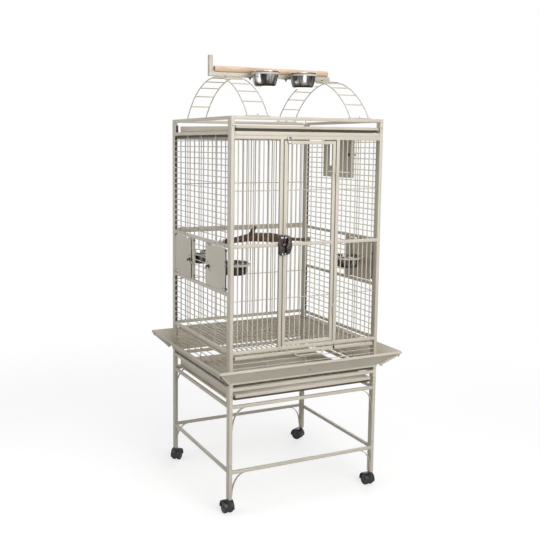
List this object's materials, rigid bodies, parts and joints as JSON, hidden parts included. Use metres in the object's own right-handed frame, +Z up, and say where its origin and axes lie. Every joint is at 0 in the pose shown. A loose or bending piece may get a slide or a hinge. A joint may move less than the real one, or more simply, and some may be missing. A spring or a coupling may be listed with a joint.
{
  "type": "bird cage",
  "caption": "Play top bird cage on a wheeled stand, with barred front door, outside feeder doors, nest box door, seed guards, slide-out trays, ladders and perches.",
  "frame": {"origin": "on the floor under the middle of the cage, between the casters", "axes": "+Z up, the cage's longest extent; +X across the front to the viewer's right; the front door faces -Y"},
  "size_m": [0.7486, 0.6986, 1.6266],
  "materials": {
    "ivory_powder_coat": "satin",
    "bright_steel": "bright zinc",
    "polished_stainless": "polished",
    "dark_lock_paint": "satin",
    "black_plastic": "satin",
    "pale_dowel_wood": "bare",
    "branch_wood": "bark"
  },
  "bodies": {
    "frame": {"back_grille": "ivory_powder_coat", "branch_bolt_left": "bright_steel", "branch_bolt_right": "bright_steel", "branch_perch": "branch_wood", "cage_back_frame": "ivory_powder_coat", "cage_front_frame": "ivory_powder_coat", "cage_left_frame": "ivory_powder_coat", "cage_right_frame": "ivory_powder_coat", "door_lock_keeper": "dark_lock_paint", "front_grille_left": "ivory_powder_coat", "front_grille_right": "ivory_powder_coat", "ladder_left": "ivory_powder_coat", "ladder_right": "ivory_powder_coat", "left_grille_lower": "ivory_powder_coat", "left_grille_upper": "ivory_powder_coat", "perch_bar": "ivory_powder_coat", "perch_dowel": "pale_dowel_wood", "right_grille_lower": "ivory_powder_coat", "right_grille_upper": "ivory_powder_coat", "roof_grille": "ivory_powder_coat", "seed_guard_back": "ivory_powder_coat", "seed_guard_front": "ivory_powder_coat", "seed_guard_left": "ivory_powder_coat", "seed_guard_right": "ivory_powder_coat", "stand_back_frame": "ivory_powder_coat", "stand_front_frame": "ivory_powder_coat", "stand_left_frame": "ivory_powder_coat", "stand_left_stretcher": "ivory_powder_coat", "stand_right_frame": "ivory_powder_coat", "stand_right_stretcher": "ivory_powder_coat"},
    "front_door": {"front_door": "ivory_powder_coat", "door_lock_case": "dark_lock_paint"},
    "door_lock_lever": {"door_lock_lever": "dark_lock_paint"},
    "door_top_latch": {"door_top_latch": "bright_steel"},
    "nest_box_door": {"nest_box_door": "ivory_powder_coat"},
    "nest_box_latch": {"nest_box_latch": "bright_steel"},
    "top_bowl_left": {"top_bowl_left": "polished_stainless"},
    "top_bowl_right": {"top_bowl_right": "polished_stainless"},
    "top_tray": {"top_tray": "ivory_powder_coat"},
    "floor_grate": {"floor_grate": "ivory_powder_coat"},
    "stand_tray": {"stand_tray": "ivory_powder_coat"},
    "feeder_door_left_rear": {"feeder_door_left_rear": "ivory_powder_coat"},
    "feeder_latch_left_rear": {"feeder_latch_left_rear": "bright_steel"},
    "feeder_bowl_left_rear": {"feeder_bowl_left_rear": "polished_stainless"},
    "feeder_door_left_front": {"feeder_door_left_front": "ivory_powder_coat"},
    "feeder_latch_left_front": {"feeder_latch_left_front": "bright_steel"},
    "feeder_bowl_left_front": {"feeder_bowl_left_front": "polished_stainless"},
    "feeder_door_right_front": {"feeder_door_right_front": "ivory_powder_coat"},
    "feeder_latch_right_front": {"feeder_latch_right_front": "bright_steel"},
    "feeder_bowl_right_front": {"feeder_bowl_right_front": "polished_stainless"},
    "caster_hood_front_left": {"caster_hood_front_left": "black_plastic"},
    "caster_wheels_front_left": {"caster_wheels_front_left": "black_plastic"},
    "caster_hood_front_right": {"caster_hood_front_right": "black_plastic"},
    "caster_wheels_front_right": {"caster_wheels_front_right": "black_plastic"},
    "caster_hood_back_left": {"caster_hood_back_left": "black_plastic"},
    "caster_wheels_back_left": {"caster_wheels_back_left": "black_plastic"},
    "caster_hood_back_right": {"caster_hood_back_right": "black_plastic"},
    "caster_wheels_back_right": {"caster_wheels_back_right": "black_plastic"}
  },
  "joints": [
    {"name": "front_door_hinge", "type": "hinge", "parent": "frame", "child": "front_door", "pos_m": [0.10725, -0.2843, 0.5953], "axis": [0, 0, 1], "range_deg": [0, 160]},
    {"name": "door_lock_lever_turn", "type": "hinge", "parent": "front_door", "child": "door_lock_lever", "pos_m": [-0.088, -0.2921, 0.9578], "axis": [0, 1, 0], "range_deg": [0, 80]},
    {"name": "door_top_latch_turn", "type": "hinge", "parent": "front_door", "child": "door_top_latch", "pos_m": [-0.083, -0.28005, 1.313], "axis": [0, 1, 0], "range_deg": [0, 90]},
    {"name": "feeder_door_left_rear_hinge", "type": "hinge", "parent": "frame", "child": "feeder_door_left_rear", "pos_m": [-0.30345, 0.2435, 0.7973], "axis": [0, 0, -1], "range_deg": [0, 120]},
    {"name": "feeder_latch_left_rear_turn", "type": "hinge", "parent": "feeder_door_left_rear", "child": "feeder_latch_left_rear", "pos_m": [-0.3048, 0.0917, 0.8676], "axis": [1, 0, 0], "range_deg": [-90, 90]},
    {"name": "feeder_bowl_left_rear_lift", "type": "slide", "parent": "feeder_door_left_rear", "child": "feeder_bowl_left_rear", "axis": [0, 0, 1], "range_m": [0, 0.06]},
    {"name": "feeder_door_left_front_hinge", "type": "hinge", "parent": "frame", "child": "feeder_door_left_front", "pos_m": [-0.30345, -0.2435, 0.7973], "axis": [0, 0, 1], "range_deg": [0, 120]},
    {"name": "feeder_latch_left_front_turn", "type": "hinge", "parent": "feeder_door_left_front", "child": "feeder_latch_left_front", "pos_m": [-0.3048, -0.0917, 0.8676], "axis": [-1, 0, 0], "range_deg": [-90, 90]},
    {"name": "feeder_bowl_left_front_lift", "type": "slide", "parent": "feeder_door_left_front", "child": "feeder_bowl_left_front", "axis": [0, 0, 1], "range_m": [0, 0.06]},
    {"name": "feeder_door_right_front_hinge", "type": "hinge", "parent": "frame", "child": "feeder_door_right_front", "pos_m": [0.30345, -0.2435, 0.7973], "axis": [0, 0, -1], "range_deg": [0, 120]},
    {"name": "feeder_latch_right_front_turn", "type": "hinge", "parent": "feeder_door_right_front", "child": "feeder_latch_right_front", "pos_m": [0.3048, -0.0917, 0.8676], "axis": [-1, 0, 0], "range_deg": [-90, 90]},
    {"name": "feeder_bowl_right_front_lift", "type": "slide", "parent": "feeder_door_right_front", "child": "feeder_bowl_right_front", "axis": [0, 0, 1], "range_m": [0, 0.06]},
    {"name": "nest_box_door_hinge", "type": "hinge", "parent": "frame", "child": "nest_box_door", "pos_m": [0.30345, 0.0948, 1.2005], "axis": [0, 0, 1], "range_deg": [0, 150]},
    {"name": "nest_box_latch_turn", "type": "hinge", "parent": "nest_box_door", "child": "nest_box_latch", "pos_m": [0.3048, -0.062, 1.268], "axis": [1, 0, 0], "range_deg": [-90, 90]},
    {"name": "top_bowl_left_lift", "type": "slide", "parent": "frame", "child": "top_bowl_left", "axis": [0, 0, 1], "range_m": [0, 0.12]},
    {"name": "top_bowl_right_lift", "type": "slide", "parent": "frame", "child": "top_bowl_right", "axis": [0, 0, 1], "range_m": [0, 0.12]},
    {"name": "top_tray_slide", "type": "slide", "parent": "frame", "child": "top_tray", "axis": [0, -1, 0], "range_m": [0, 0.45]},
    {"name": "floor_grate_slide", "type": "slide", "parent": "frame", "child": "floor_grate", "axis": [0, -1, 0], "range_m": [0, 0.45]},
    {"name": "stand_tray_slide", "type": "slide", "parent": "frame", "child": "stand_tray", "axis": [0, -1, 0], "range_m": [0, 0.45]},
    {"name": "caster_front_left_swivel", "type": "hinge", "parent": "frame", "child": "caster_hood_front_left", "pos_m": [-0.2985, -0.2675, 0], "axis": [0, 0, 1], "continuous": true},
    {"name": "caster_front_left_roll", "type": "hinge", "parent": "caster_hood_front_left", "child": "caster_wheels_front_left", "pos_m": [-0.29787, -0.24951, 0.0225], "axis": [-0.9994, 0.0349, 0], "continuous": true},
    {"name": "caster_front_right_swivel", "type": "hinge", "parent": "frame", "child": "caster_hood_front_right", "pos_m": [0.2985, -0.2675, 0], "axis": [0, 0, 1], "continuous": true},
    {"name": "caster_front_right_roll", "type": "hinge", "parent": "caster_hood_front_right", "child": "caster_wheels_front_right", "pos_m": [0.2985, -0.2495, 0.0225], "axis": [-1, 0, 0], "continuous": true},
    {"name": "caster_back_left_swivel", "type": "hinge", "parent": "frame", "child": "caster_hood_back_left", "pos_m": [-0.2985, 0.2675, 0], "axis": [0, 0, 1], "continuous": true},
    {"name": "caster_back_left_roll", "type": "hinge", "parent": "caster_hood_back_left", "child": "caster_wheels_back_left", "pos_m": [-0.28693, 0.28129, 0.0225], "axis": [-0.766, 0.6428, 0], "continuous": true},
    {"name": "caster_back_right_swivel", "type": "hinge", "parent": "frame", "child": "caster_hood_back_right", "pos_m": [0.2985, 0.2675, 0], "axis": [0, 0, 1], "continuous": true},
    {"name": "caster_back_right_roll", "type": "hinge", "parent": "caster_hood_back_right", "child": "caster_wheels_back_right", "pos_m": [0.29005, 0.28339, 0.0225], "axis": [-0.8829, -0.4695, 0], "continuous": true}
  ]
}
